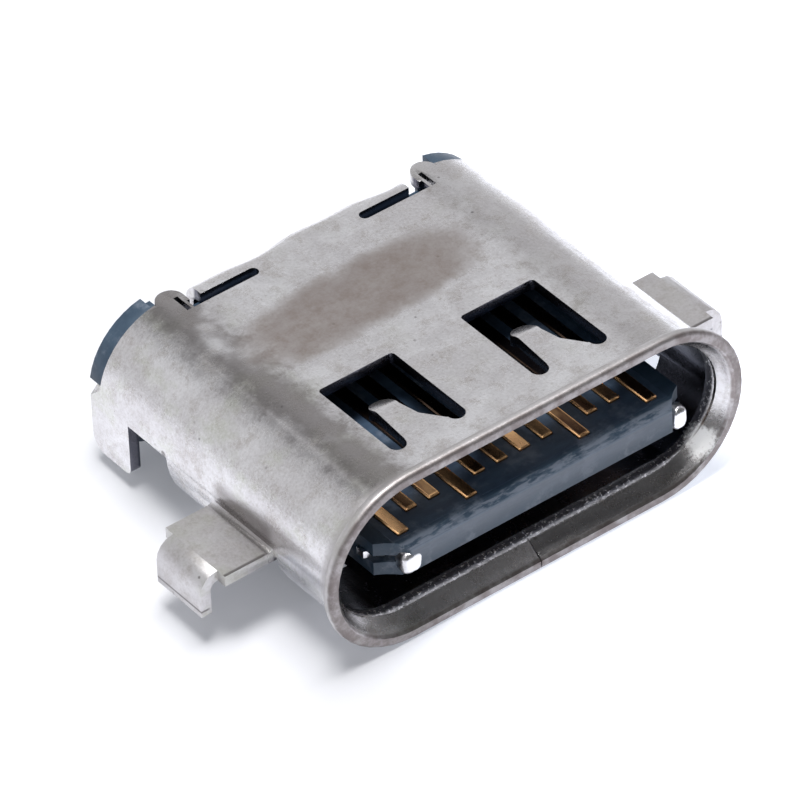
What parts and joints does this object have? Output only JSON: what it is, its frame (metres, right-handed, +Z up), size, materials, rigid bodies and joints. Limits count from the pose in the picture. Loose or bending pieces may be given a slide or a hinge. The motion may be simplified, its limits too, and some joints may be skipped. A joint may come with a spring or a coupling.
{
  "type": "usb-c socket",
  "caption": "Mid-mount USB type C socket with a flared, folded steel shell, side board tabs, top spring fingers and a moulded tongue with flat contacts.",
  "frame": {"origin": "centre of the mouth, in the plane of the lip", "axes": "+X to the right seen from the mouth, +Y from the mouth to the rear, +Z up, away from the board"},
  "size_m": [0.0116, 0.0081, 0.0036],
  "materials": {
    "steel_sheet": "satin, drawn and folded, faintly stained",
    "slate_plastic": "moulded, satin",
    "tongue_plastic": "moulded, satin",
    "latch_steel": "bright",
    "ground_steel": "satin",
    "contact_gold": "gold plated, bright"
  },
  "bodies": {
    "root": {"shell": "steel_sheet", "housing": "slate_plastic", "upper_terminal_block": "tongue_plastic", "lower_terminal_block": "tongue_plastic", "mid_plate": "latch_steel", "upper_ground_plate": "ground_steel", "lower_ground_plate": "ground_steel", "contact_a01": "contact_gold", "contact_a02": "contact_gold", "contact_a03": "contact_gold", "contact_a04": "contact_gold", "contact_a05": "contact_gold", "contact_a06": "contact_gold", "contact_a07": "contact_gold", "contact_a08": "contact_gold", "contact_a09": "contact_gold", "contact_a10": "contact_gold", "contact_a11": "contact_gold", "contact_a12": "contact_gold", "contact_b01": "contact_gold", "contact_b02": "contact_gold", "contact_b03": "contact_gold", "contact_b04": "contact_gold", "contact_b05": "contact_gold", "contact_b06": "contact_gold", "contact_b07": "contact_gold", "contact_b08": "contact_gold", "contact_b09": "contact_gold", "contact_b10": "contact_gold", "contact_b11": "contact_gold", "contact_b12": "contact_gold"}
  },
  "joints": []
}
